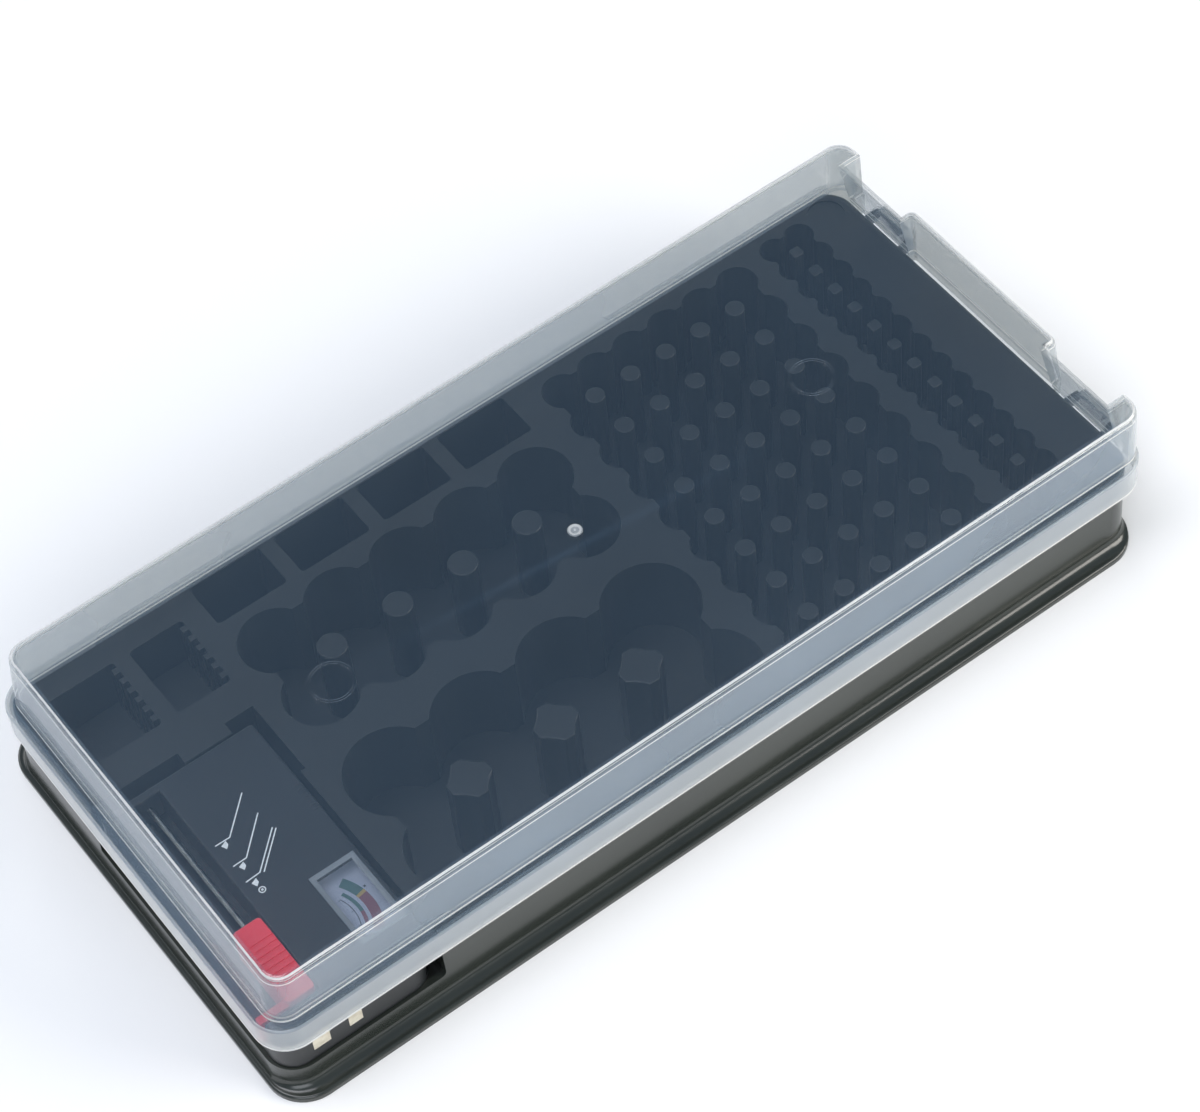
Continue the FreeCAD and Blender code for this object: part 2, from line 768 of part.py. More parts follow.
spring_z = (floor_inside + trough_floor - tester_wall) / 2
anchor_y = tester_near + tester_wall + anchor_diameter
slider_near = near_block_far + contact_thickness + gap + contact_thickness
slider_far = slider_near + slider_length
tab_far = slider_far
tab_near = tab_far - tab_length


def above_trough(low, high):
    # The tester's plan above the trough floor: the main block and the two end blocks.
    main = slab(main_box, block_corner, low, high)
    corner_box = (near_box[0], near_box[1], near_box[2], near_box[1] + 3 * tester_corner)
    near = slab(corner_box, tester_corner, low, high).common(block(near_box, low, high))
    far = slab(far_box, far_corner, low, high)
    return fuse_all([main, near, far])


def hollow_above(low, high):
    # The room inside the main block.
    return slab(grow(main_box, -tester_wall), block_corner, low, high)


def rail_bore():
    start = Vector(rail_x, near_block_far - near_block_length / 2, rail_height)
    length = far_block_near - near_block_far + near_block_length / 2 + far_block_length / 2
    return Part.makeCylinder(rail_diameter / 2, length, start, Vector(0, 1, 0))


def contact_box(x, width, low, high, near):
    return block((x - width / 2, near, x + width / 2, near + contact_thickness), low, high)


def nine_volt_contacts():
    first = tester_left + nine_volt_tab_from_left
    sizes = ((first, nine_volt_tab_wide), (first + nine_volt_centres, nine_volt_tab_narrow))
    top = nine_volt_tab_bottom + nine_volt_tab_height
    near = tester_near - contact_thickness + tab_recess
    return [contact_box(x, width, nine_volt_tab_bottom, top, near) for x, width in sizes]


def fixed_contact():
    x = (tester_left + block_left) / 2
    low = trough_floor + gap
    return contact_box(x, contact_width, low, low + contact_height, near_block_far)


def tester_back():
    # The lower shell, whose upper face is the trough floor.
    low = slab(tester_box, tester_corner, bay_floor, trough_floor)
    low = round_level_edges(low, bay_floor, tester_edge_round)
    body = fuse_all([low, above_trough(trough_floor, shell_split)])
    hollow = slab(grow(tester_box, -tester_wall), tester_corner - tester_wall,
                  floor_inside, trough_floor - tester_wall)
    body = body.cut([hollow, hollow_above(floor_inside, shell_split + overrun)])
    body = body.cut(nine_volt_contacts())
    slot_box = (rail_x - slot_width / 2, near_block_far, rail_x + slot_width / 2, far_block_near)
    body = body.cut(block(slot_box, trough_floor - overrun, trough_floor + overrun))
    bosses = [upright(x, y, screw_boss_radius, floor_inside, shell_split) for x, y in screw_places]
    posts = [upright(x, y, standoff_diameter / 2, floor_inside, board_level) for x, y in board_corners()]
    anchor = upright(rail_x, anchor_y, anchor_diameter / 2, floor_inside, trough_floor - tester_wall)
    body = fuse_all([body, anchor] + bosses + posts)
    return body.cut(screws())


def board_corners():
    places = cell_places(board_x, board_y, 2, 2, board_width - standoff_diameter,
                         board_length - standoff_diameter)
    return places


def tester_cover():
    # The upper shell with its window seat.
    body = above_trough(shell_split, tester_top)
    body = round_level_edges(body, tester_top, tester_edge_round)
    body = body.cut(hollow_above(shell_split - overrun, tester_top - tester_wall))
    body = body.cut(block(grow(window_box, -window_lip), tester_top - overrun, tester_top + overrun))
    body = body.cut(block(window_box, tester_top - window_pane, tester_top + overrun))
    boss_top = tester_top - tester_wall
    bosses = [upright(x, y, screw_boss_radius, shell_split, boss_top) for x, y in screw_places]
    body = fuse_all([body] + bosses)
    return body.cut(screws() + [rail_bore()])


def screws():
    # Self tapping screws from underneath, with their heads sunk level in the lower shell.
    solids = []
    for x, y in screw_places:
        head = upright(x, y, screw_head_radius, bay_floor, bay_floor + screw_head_height)
        shank = upright(x, y, screw_radius, bay_floor, tester_top - 2 * tester_wall)
        solids.append(fuse_all([head, shank]))
    return solids


def slider():
    # The red grip on its rail, with the plate that meets the cell and a foot at the tester's side.
    rise = tester_top + slider_top_rise
    low = trough_floor + gap
    right = block_left - slider_side_play
    grip_box = (right - slider_width, slider_near, right, slider_far)
    grip = slab(grip_box, block_corner, low, rise)
    grip = round_level_edges(grip, rise, grip_depth)
    cuts = []
    for index in range(grip_count):
        y = (slider_near + slider_far) / 2 + (index - (grip_count - 1) / 2) * 2 * grip_width
        cut_box = (grip_box[0] - overrun, y - grip_width / 2, grip_box[2] + overrun, y + grip_width / 2)
        cuts.append(block(cut_box, rise - grip_depth, rise + overrun))
    grip = grip.cut(cuts)
    plate_box = (tester_left - slider_foot_reach, slider_near,
                 right - slider_width / 2, slider_near + slider_plate)
    plate = block(plate_box, low, slider_plate_top)
    tab_box = (rail_x - tab_width / 2, tab_near, rail_x + tab_width / 2, tab_far)
    tab = block(tab_box, trough_floor - tab_drop, low + grip_depth)
    bore_start = Vector(rail_x, slider_near - overrun, rail_height)
    bore = Part.makeCylinder(rail_diameter / 2 + rail_play, slider_length + 2 * overrun, bore_start,
                             Vector(0, 1, 0))
    return fuse_all([grip, plate, tab]).cut(bore)


def slider_contact():
    x = (tester_left + block_left) / 2
    low = trough_floor + gap
    right = rail_x - rail_diameter
    left = x - contact_width / 2
    return block((left, slider_near - contact_thickness, right, slider_near), low, low + contact_height)


def slider_spring():
    # A light extension spring under the trough floor, from the anchor to the slider's tab.
    start = anchor_y + anchor_diameter / 2 + spring_wire
    length = tab_near - spring_wire - start
    helix = Part.makeHelix(length / spring_turns, length, spring_radius)
    profile = Part.Wire(Part.makeCircle(spring_wire / 2, Vector(spring_radius, 0, 0), Vector(0, 1, 0)))
    coil = Part.Wire(helix).makePipeShell([profile], True, True)
    coil.rotate(Vector(0, 0, 0), Vector(1, 0, 0), -90)
    coil.translate(Vector(rail_x, start, spring_z))
    return coil


def meter_yoke():
    # The steel cup of the meter, with a gap ring for the coil.
    cup = upright(pivot_x, pivot_y, yoke_outer, floor_inside, floor_inside + yoke_base + magnet_height)
    cup = cup.cut(upright(pivot_x, pivot_y, yoke_inner, floor_inside + yoke_base, tester_top))
    return cup


def meter_magnet():
    low = floor_inside + yoke_base
    return upright(pivot_x, pivot_y, magnet_radius, low, low + magnet_height - coil_wire - coil_gap)


def meter_coil():
    # A square frame of fine wire that turns round the magnet.
    low = floor_inside + yoke_base + coil_gap
    high = floor_inside + yoke_base + magnet_height
    inner = centred_box(pivot_x, pivot_y, 2 * coil_inner, coil_inner)
    outer = centred_box(pivot_x, pivot_y, 2 * (coil_inner + coil_wire), coil_inner)
    return block(outer, low, high).cut(block(inner, low - overrun, high - coil_wire))


def meter_pivot():
    return upright(pivot_x, pivot_y, pivot_radius, floor_inside + yoke_base + magnet_height,
                   needle_level + needle_thickness + gap)


def meter_needle():
    # A thin pointer with a hub and a short tail that balances it.
    hub = upright(pivot_x, pivot_y, needle_hub, needle_level, needle_level + needle_thickness)
    bar = block((pivot_x - needle_tail, pivot_y - needle_width / 2, pivot_x + needle_length,
                 pivot_y + needle_width / 2), needle_level, needle_level + needle_thickness)
    pointer = fuse_all([hub, bar])
    pointer.rotate(Vector(pivot_x, pivot_y, 0), Vector(0, 0, 1), needle_zero)
    return pointer.cut(meter_pivot())


def meter_bridge():
    # A strap over the meter that guides the pivot and carries the dial.
    reach = window_length / 2 + dial_margin
    strap_box = centred_box(pivot_x, pivot_y, bridge_width, 2 * reach)
    strap = block(strap_box, bridge_level, bridge_level + bridge_thickness)
    pieces = [strap]
    for side in (1, -1):
        leg_y = pivot_y + side * (reach - frame_leg / 2)
        leg = centred_box(pivot_x, leg_y, bridge_width, frame_leg - gap)
        pieces.append(block(leg, floor_inside, dial_level))
    hole = upright(pivot_x, pivot_y, pivot_radius + pivot_play, 0, tester_top)
    return fuse_all(pieces).cut(hole)


def meter_dial():
    # The printed card under the window, which rests on the strap's legs.
    reach = window_length / 2 + dial_margin
    left = pivot_x - bridge_width / 2
    card_box = (left, pivot_y - reach, window_box[2] - window_lip / 2, pivot_y + reach)
    card = block(card_box, dial_level, dial_level + dial_thickness)
    return card.cut(upright(pivot_x, pivot_y, dial_hole / 2, 0, tester_top))


def meter_window():
    box = grow(window_box, -gap / 2)
    return block(box, tester_top - window_pane, tester_top)


def test_board():
    box = centred_box(board_x, board_y, board_width, board_length)
    return block(box, board_level, board_level + board_thickness)


def load_resistors():
    solids = []
    for index in range(resistor_count):
        y = board_y + (index - (resistor_count - 1) / 2) * resistor_pitch
        start = Vector(board_x - resistor_length / 2, y, board_level + board_thickness + resistor_radius)
        solids.append(Part.makeCylinder(resistor_radius, resistor_length, start, Vector(1, 0, 0)))
    return solids


save("tray_shell", tray_shell())
save("tray_deck", deck)
save("aa_tub", aa_tub)
save("aa_posts", *aa_posts)
save("aaa_tub", aaa_tub)
save("aaa_posts", *aaa_posts)
save("c_tub", c_tub)
save("c_posts", *c_posts)
save("d_tub", d_tub)
save("d_posts", *d_posts)
save("nine_volt_tubs", *nine_volt_tubs)
save("button_tubs", *button_tubs)
save("tester_bay", tester_bay)
save("lid", lid_shape())
save("tester_back", tester_back())
save("tester_cover", tester_cover())
save("tester_screws", *screws())
save("slider", slider())
save("slider_contact", slider_contact())
save("slider_rail", rail_bore())
save("slider_spring", slider_spring())
save("fixed_contact", fixed_contact())
save("nine_volt_contacts", *nine_volt_contacts())
save("meter_yoke", meter_yoke())
save("meter_magnet", meter_magnet())
save("meter_coil", meter_coil())
save("meter_pivot", meter_pivot())
save("meter_needle", meter_needle())
save("meter_bridge", meter_bridge())
save("meter_dial", meter_dial())
save("meter_window", meter_window())
save("test_board", test_board())
save("load_resistors", *load_resistors())
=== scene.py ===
import bmesh
import bpy
import math
import numpy as np
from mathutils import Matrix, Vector


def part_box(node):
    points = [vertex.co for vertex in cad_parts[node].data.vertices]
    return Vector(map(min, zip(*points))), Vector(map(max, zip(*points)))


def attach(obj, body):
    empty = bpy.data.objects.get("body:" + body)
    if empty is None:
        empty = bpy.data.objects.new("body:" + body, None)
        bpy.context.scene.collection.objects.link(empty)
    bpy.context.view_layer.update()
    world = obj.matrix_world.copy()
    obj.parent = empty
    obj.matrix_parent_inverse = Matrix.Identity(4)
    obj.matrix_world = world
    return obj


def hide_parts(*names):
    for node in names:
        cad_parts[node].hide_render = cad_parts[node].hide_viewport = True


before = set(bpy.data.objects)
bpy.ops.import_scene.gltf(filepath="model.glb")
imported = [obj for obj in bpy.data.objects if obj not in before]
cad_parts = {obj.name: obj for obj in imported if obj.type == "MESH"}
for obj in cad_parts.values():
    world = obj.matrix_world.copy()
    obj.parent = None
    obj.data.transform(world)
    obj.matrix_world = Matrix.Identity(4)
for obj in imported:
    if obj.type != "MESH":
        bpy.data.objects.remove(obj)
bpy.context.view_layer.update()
print("frame loaded:", len(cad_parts), "nodes")

mm = 0.001


# small tools

def hexColour(code):
    # sRGB hex to the linear colour that Blender wants
    parts = np.array([int(code[i:i + 2], 16) for i in (1, 3, 5)]) / 255
    linear = np.where(parts <= 0.04045, parts / 12.92, ((parts + 0.055) / 1.055) ** 2.4)
    return (*linear.tolist(), 1.0)


def addNode(tree, kind, settings=None, links=None):
    # one node: settings by input name or by property name, links by input name
    node = tree.nodes.new(kind)
    for key, value in (settings or {}).items():
        if isinstance(key, int) or key in node.inputs:
            node.inputs[key].default_value = value
        else:
            setattr(node, key, value)
    for key, socket in (links or {}).items():
        tree.links.new(socket, node.inputs[key])
    return node


def newMaterial(name):
    material = bpy.data.materials.new(name)
    material.use_nodes = True
    material.node_tree.nodes.clear()
    return material, material.node_tree


def perMetre(size):
    # pattern scale for a feature of so many millimetres
    return 1000 / size


def twoTones(tree, pattern, look, low, high):
    # the dark tone where the noise is low, the light tone where it is high, and a blend between
    tone = addNode(tree, "ShaderNodeValToRGB", None, {"Fac": pattern.outputs["Fac"]})
    for stop, position, name in zip(tone.color_ramp.elements, (low, high), ("dark", "light")):
        stop.position = position
        stop.color = hexColour(look[name])
    return tone.outputs["Color"]


def wearMaterial(nodeName, material):
    # puts a material on a CAD node in place of the one it came with
    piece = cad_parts[nodeName]
    if not piece.material_slots:
        piece.data.materials.append(material)
    for slotIndex in range(len(piece.material_slots)):
        piece.material_slots[slotIndex].material = material


def makePiece(name, points, faces, material, body, smooth=False):
    # a mesh from arrays: points (n, 3) in millimetres, faces as rows of indices
    mesh = bpy.data.meshes.new(name)
    mesh.from_pydata((np.asarray(points) * mm).tolist(), [], [list(map(int, f)) for f in faces])
    mesh.validate()
    mesh.materials.append(material)
    mesh.polygons.foreach_set("use_smooth", np.full(len(mesh.polygons), smooth))
    mesh.update()
    piece = bpy.data.objects.new(name, mesh)
    bpy.context.scene.collection.objects.link(piece)
    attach(piece, body)
    return piece


def ringGrid(sections):
    # closed skin over sections (rings, corners, 3): quads between rings, and both ends capped
    sections = np.asarray(sections, float)
    rings, corners = sections.shape[:2]
    i, j = np.meshgrid(np.arange(rings - 1), np.arange(corners), indexing="ij")
    k = (j + 1) % corners
    quads = np.stack([i * corners + j, i * corners + k, (i + 1) * corners + k, (i + 1) * corners + j], -1)
    caps = [list(range(corners))[::-1], list(range((rings - 1) * corners, rings * corners))]
    return sections.reshape(-1, 3), list(quads.reshape(-1, 4)) + caps


def joinSkins(skins):
    # several (points, faces) as one
    points, faces, start = [], [], 0
    for p, f in skins:
        points.append(p)
        faces += [[int(v) + start for v in face] for face in f]
        start += len(p)
    return np.concatenate(points), faces


def arcBand(centre, inner, outer, first, last, low, high, steps=24):
    # a flat sector of a ring: a rectangle profile carried round an arc, angles in degrees
    t = np.radians(np.linspace(last, first, steps))
    r = np.array([inner, outer, outer, inner])
    z = np.array([low, low, high, high])
    x = centre[0] + np.cos(t)[:, None] * r
    y = centre[1] + np.sin(t)[:, None] * r
    return ringGrid(np.stack([x, y, np.broadcast_to(z, x.shape)], -1))


leastMitre = 0.3  # a corner of a strip is carried out no further than this share allows


def stripPath(path, width, low, high):
    # a flat line of print: a rectangle profile carried along a path, mitred at its corners
    path = np.asarray(path, float)
    run = np.diff(path, axis=0)
    run /= np.linalg.norm(run, axis=1)[:, None]
    before = np.vstack([run[:1], run])
    after = np.vstack([run, run[-1:]])
    along = before + after
    along /= np.linalg.norm(along, axis=1)[:, None]
    side = np.stack([along[:, 1], -along[:, 0]], -1)
    mitre = (side * np.stack([after[:, 1], -after[:, 0]], -1)).sum(1)
    spread = (width / 2) / np.clip(mitre, leastMitre, None)
    left = path - side * spread[:, None]
    right = path + side * spread[:, None]
    level = np.ones(len(path))
    below = [np.c_[left, level * low], np.c_[right, level * low]]
    above = [np.c_[right, level * high], np.c_[left, level * high]]
    return ringGrid(np.stack(below + above, 1))


def flatShape(outline, low, high):
    # a thin plate from a plan outline
    outline = np.asarray(outline, float)
    level = np.ones(len(outline))
    return ringGrid(np.stack([np.c_[outline, level * low], np.c_[outline, level * high]]))


# plastics

def mouldedPlastic(name, look):
    # injection moulded plastic: even colour with slow flow mottling, and a fine spark eroded grain
    # that breaks the gloss
    material, tree = newMaterial(name)
    coords = addNode(tree, "ShaderNodeTexCoord").outputs["Object"]
    flow = addNode(tree, "ShaderNodeTexNoise",
                   {"Scale": perMetre(look["flowSize"]), "Detail": 3.0, "Roughness": 0.55},
                   {"Vector": coords})
    grain = addNode(tree, "ShaderNodeTexNoise",
                    {"Scale": perMetre(look["grainSize"]), "Detail": 4.0, "Roughness": 0.6},
                    {"Vector": coords})
    tone = twoTones(tree, flow, look, 0.3, 0.7)
    rough = addNode(tree, "ShaderNodeMapRange",
                    {"From Min": 0.3, "From Max": 0.7, "To Min": look["roughness"] - look["roughSpread"],
                     "To Max": look["roughness"] + look["roughSpread"]}, {"Value": grain.outputs["Fac"]})
    bump = addNode(tree, "ShaderNodeBump",
                   {"Strength": look["grainStrength"], "Distance": look["grainDepth"] * mm},
                   {"Height": grain.outputs["Fac"]})
    shader = addNode(tree, "ShaderNodeBsdfPrincipled", {"IOR": look["ior"]},
                     {"Base Color": tone, "Roughness": rough.outputs["Result"],
                      "Normal": bump.outputs["Normal"]})
    addNode(tree, "ShaderNodeOutputMaterial", None, {"Surface": shader.outputs["BSDF"]})
    return material


trayShadeDarkenedLook = {  # high impact polystyrene, black, darker than the shell's copy as painted shade, so the wells read as flat and dark
    "dark": "#131513", "light": "#181a18", "roughness": 0.42, "roughSpread": 0.01, "ior": 1.5,
    "flowSize": 35, "grainSize": 0.8, "grainDepth": 0.02, "grainStrength": 0.02}
shellLook = {  # the same polystyrene, satin outside
    "dark": "#2a2e2a", "light": "#313530", "roughness": 0.2, "roughSpread": 0.03, "ior": 1.59,
    "flowSize": 45, "grainSize": 0.6, "grainDepth": 0.02, "grainStrength": 0.06}
testerLook = {  # ABS, black, a little smoother than the tray
    "dark": "#15181a", "light": "#1b1e20", "roughness": 0.36, "roughSpread": 0.03, "ior": 1.54,
    "flowSize": 22, "grainSize": 0.7, "grainDepth": 0.02, "grainStrength": 0.03}
sliderLook = {  # ABS, red, glossy from a polished mould
    "dark": "#ec3040", "light": "#f53e4c", "roughness": 0.3, "roughSpread": 0.05, "ior": 1.54,
    "flowSize": 9, "grainSize": 0.5, "grainDepth": 0.02, "grainStrength": 0.1}
# the tray's copy is darker than the shell's to paint the shade in the wells
trayShadeDarkenedPlastic = mouldedPlastic("blackPolystyreneShadeDarkened", trayShadeDarkenedLook)
shellPlastic = mouldedPlastic("blackPolystyreneSatin", shellLook)
testerPlastic = mouldedPlastic("blackAbsMoulded", testerLook)
sliderPlastic = mouldedPlastic("redAbsMoulded", sliderLook)


lidLook = {  # polypropylene, natural: clear where the mould is polished, milky where it is blasted
    "clearHaze": 0.05, "ledgeHaze": 0.18, "wallHaze": 0.30, "bandHaze": 0.54, "edgeHaze": 0.12,
    "rimHaze": 0.4, "endHaze": 0.42, "recessHaze": 0.06,
    "flatFrom": 0.995, "roundFrom": 0.3, "recessLean": (0.2, 0.27),  # upward share of a face's normal
    "bandBelow": 39.5, "rimBelow": 45, "clearAbove": 60, "endFrom": 170,  # in millimetres
    "backColours": [(0.05, "#86b4dc"), (0.3, "#b6d2ee"), (0.75, "#f6f6f4")],
    "straightColours": [(0.05, "#fafbfb"), (0.3, "#f2f0eb"), (0.75, "#ece8de")],
    "through": "#f4f3ee", "throughShare": 0.45, "gloss": 0.07, "mirrorLeast": 0.04, "mirrorMost": 0.95,
    "cloudSize": 60, "cloudRange": (0.9, 1.1), "frostSize": 1.2, "frostDepth": 0.006, "frostStrength": 0.15,
    "lines": [(27.85, 0.65, 0.9), (40.6, 0.5, 0.8), (61.2, 0.3, 0.6), (63.35, 0.22, 0.9)],
    "flowPlace": (-7, -5), "flowTurn": -5.1, "flowHalf": 3.2, "flowReach": 125, "flowHaze": 0.03}
# each of the painted highlight lines is given by its height, its half width and how much haze it adds


def clearPolypropylene(look):
    # Two shares of light are mixed: what goes straight through, a little tinted, and what the milky
    # plastic scatters, about half back and half onward. The attribute "milk" says how much is
    # scattered. At the foot of the wall, the bottom of the band and the two edges of the top's round,
    # extra haze paints a white highlight line at their height, and the flow from the gate adds a faint
    # streak along the top: haze = milk + painted highlight lines(z) + streak(x, y). On top lies the gloss,
    # a share of 4 percent that grows to nearly all of it at a grazing look, as on any clear plastic.
    material, tree = newMaterial("clearPolypropyleneMoulded")
    coords = addNode(tree, "ShaderNodeTexCoord").outputs["Object"]
    frost = addNode(tree, "ShaderNodeTexNoise", {"Scale": perMetre(look["frostSize"]), "Detail": 4.0},
                    {"Vector": coords})
    cloud = addNode(tree, "ShaderNodeTexNoise", {"Scale": perMetre(look["cloudSize"]), "Detail": 2.0},
                    {"Vector": coords})
    milk = addNode(tree, "ShaderNodeAttribute", {"attribute_name": "milk"}).outputs["Fac"]
    height = addNode(tree, "ShaderNodeSeparateXYZ", None, {"Vector": coords}).outputs["Z"]
    # each line adds haze that paints a white highlight at its height
    for level, half, more in look["lines"]:
        onHighlightLine = addNode(tree, "ShaderNodeMath", {"operation": "COMPARE", 1: level * mm, 2: half * mm},
                       {0: height})
        milk = addNode(tree, "ShaderNodeMath", {"operation": "MULTIPLY_ADD", 1: more},
                       {0: onHighlightLine.outputs["Value"], 2: milk}).outputs["Value"]
    haze = milk
    startX, startY = look["flowPlace"]
    anyHeight = 10.0
    flow = addNode(tree, "ShaderNodeMapping",
                   {"vector_type": "TEXTURE", "Rotation": (0, 0, math.radians(look["flowTurn"])),
                    "Location": (startX * mm, startY * mm, 0),
                    "Scale": (look["flowReach"] * mm, look["flowHalf"] * mm, anyHeight)}, {"Vector": coords})
    streak = addNode(tree, "ShaderNodeTexGradient", {"gradient_type": "QUADRATIC_SPHERE"},
                     {"Vector": flow.outputs["Vector"]})
    milk = addNode(tree, "ShaderNodeMath", {"operation": "MULTIPLY_ADD", 1: look["flowHaze"]},
                   {0: streak.outputs["Fac"], 2: milk}).outputs["Value"]
    thin, thick = look["cloudRange"]
    uneven = addNode(tree, "ShaderNodeMapRange",
                     {"From Min": 0.3, "From Max": 0.7, "To Min": thin, "To Max": thick},
                     {"Value": cloud.outputs["Fac"]})
    share = addNode(tree, "ShaderNodeMath", {"operation": "MULTIPLY", "use_clamp": True},
                    {0: milk, 1: uneven.outputs["Result"]})
    bump = addNode(tree, "ShaderNodeBump",
                   {"Strength": look["frostStrength"], "Distance": look["frostDepth"] * mm},
                   {"Height": frost.outputs["Fac"]})
    colours = []  # the tint of the light sent back, and of the light let straight through, by the haze
    for stops in (look["backColours"], look["straightColours"]):
        ramp = addNode(tree, "ShaderNodeValToRGB", None, {"Fac": haze})
        ramp.color_ramp.elements.new(stops[1][0])
        for stop, (position, code) in zip(ramp.color_ramp.elements, stops):
            stop.position = position
            stop.color = hexColour(code)
        colours.append(ramp.outputs["Color"])
    straight = addNode(tree, "ShaderNodeBsdfTransparent", None, {"Color": colours[1]})
    back = addNode(tree, "ShaderNodeBsdfDiffuse", None,
                   {"Color": colours[0], "Normal": bump.outputs["Normal"]})
    onward = addNode(tree, "ShaderNodeBsdfTranslucent", {"Color": hexColour(look["through"])})
    scatter = addNode(tree, "ShaderNodeMixShader", {0: look["throughShare"]},
                      {1: back.outputs["BSDF"], 2: onward.outputs["BSDF"]})
    body = addNode(tree, "ShaderNodeMixShader", None,
                   {0: share.outputs["Value"], 1: straight.outputs["BSDF"], 2: scatter.outputs["Shader"]})
    facing = addNode(tree, "ShaderNodeLayerWeight", {"Blend": 0.5})
    fifth = addNode(tree, "ShaderNodeMath", {"operation": "POWER", 1: 5.0}, {0: facing.outputs["Facing"]})
    mirror = addNode(tree, "ShaderNodeMapRange",
                     {"To Min": look["mirrorLeast"], "To Max": look["mirrorMost"]},
                     {"Value": fifth.outputs["Value"]})
    gloss = addNode(tree, "ShaderNodeBsdfAnisotropic", {"Color": (1, 1, 1, 1), "Roughness": look["gloss"]},
                    {"Normal": bump.outputs["Normal"]})
    whole = addNode(tree, "ShaderNodeMixShader", None,
                    {0: mirror.outputs["Result"], 1: body.outputs["Shader"], 2: gloss.outputs["BSDF"]})
    addNode(tree, "ShaderNodeOutputMaterial", None, {"Surface": whole.outputs["Shader"]})
    return material


lidPlastic = clearPolypropylene(lidLook)


def brushedMetal(name, look):
    # drawn or rolled metal: fine lines along one direction stretch a noise, which turns the gloss
    material, tree = newMaterial(name)
    coords = addNode(tree, "ShaderNodeTexCoord").outputs["Object"]
    turned = addNode(tree, "ShaderNodeMapping", {"Scale": look["stretch"]}, {"Vector": coords})
    lines = addNode(tree, "ShaderNodeTexNoise", {"Scale": perMetre(look["lineSize"]), "Detail": 5.0},
                    {"Vector": turned.outputs["Vector"]})
    tarnish = addNode(tree, "ShaderNodeTexNoise", {"Scale": perMetre(look["spotSize"]), "Detail": 3.0},
                      {"Vector": coords})
    tone = twoTones(tree, tarnish, look, 0.35, 0.65)
    smoother, rougher, lineStrength, lineDepth = -0.08, 0.1, 0.25, 0.02
    rough = addNode(tree, "ShaderNodeMapRange",
                    {"From Min": 0.3, "From Max": 0.7, "To Min": look["roughness"] + smoother,
                     "To Max": look["roughness"] + rougher}, {"Value": lines.outputs["Fac"]})
    bump = addNode(tree, "ShaderNodeBump", {"Strength": lineStrength, "Distance": lineDepth * mm},
                   {"Height": lines.outputs["Fac"]})
    shader = addNode(tree, "ShaderNodeBsdfPrincipled", {"Metallic": look["metal"]},
                     {"Base Color": tone, "Roughness": rough.outputs["Result"],
                      "Normal": bump.outputs["Normal"]})
    addNode(tree, "ShaderNodeOutputMaterial", None, {"Surface": shader.outputs["BSDF"]})
    return material


nickelLook = {"dark": "#cfc6b0", "light": "#e6dfcc", "roughness": 0.4, "metal": 0.55, "lineSize": 0.25,
              "spotSize": 3.0, "stretch": (1, 1, 0.08)}  # nickel plated brass strip, warm
steelLook = {"dark": "#8f8f8b", "light": "#adada8", "roughness": 0.28, "metal": 1.0, "lineSize": 0.2,
             "spotSize": 4.0, "stretch": (1, 0.05, 1)}  # drawn steel wire and rod
magnetLook = {"dark": "#3b3b3d", "light": "#4a4a4c", "roughness": 0.55, "metal": 0.9, "lineSize": 0.5,
              "spotSize": 2.0, "stretch": (1, 1, 1)}  # sintered magnet, dark grey
coilLook = {"dark": "#a85a32", "light": "#c87a46", "roughness": 0.3, "metal": 1.0, "lineSize": 0.3,
            "spotSize": 1.5, "stretch": (0.1, 0.1, 1)}  # lacquered copper winding
bridgeLook = {"dark": "#b6b6b8", "light": "#cdcdcf", "roughness": 0.35, "metal": 1.0, "lineSize": 0.25,
              "spotSize": 5.0, "stretch": (0.1, 1, 1)}  # pressed aluminium strip
needleLook = {"dark": "#151515", "light": "#1f1f1f", "roughness": 0.45, "metal": 0.0, "lineSize": 0.3,
              "spotSize": 1.0, "stretch": (1, 1, 1)}  # black lacquer on aluminium
nickelPlate = brushedMetal("nickelPlatedBrass", nickelLook)
drawnSteel = brushedMetal("drawnSteel", steelLook)
sinteredMagnet = brushedMetal("sinteredFerrite", magnetLook)
copperWinding = brushedMetal("lacqueredCopperWire", coilLook)
pressedAluminium = brushedMetal("pressedAluminium", bridgeLook)
blackLacquer = brushedMetal("blackLacquer", needleLook)


def printedCard(name, look):
    # coated card or screen ink: a flat tone with paper fibre in colour and relief
    material, tree = newMaterial(name)
    coords = addNode(tree, "ShaderNodeTexCoord").outputs["Object"]
    fibre = addNode(tree, "ShaderNodeTexNoise", {"Scale": perMetre(look["fibreSize"]), "Detail": 5.0},
                    {"Vector": coords})
    tone = twoTones(tree, fibre, look, 0.3, 0.7)
    fibreStrength, fibreDepth = 0.2, 0.02
    bump = addNode(tree, "ShaderNodeBump", {"Strength": fibreStrength, "Distance": fibreDepth * mm},
                   {"Height": fibre.outputs["Fac"]})
    shader = addNode(tree, "ShaderNodeBsdfPrincipled", {"Roughness": look["roughness"]},
                     {"Base Color": tone, "Normal": bump.outputs["Normal"]})
    addNode(tree, "ShaderNodeOutputMaterial", None, {"Surface": shader.outputs["BSDF"]})
    return material


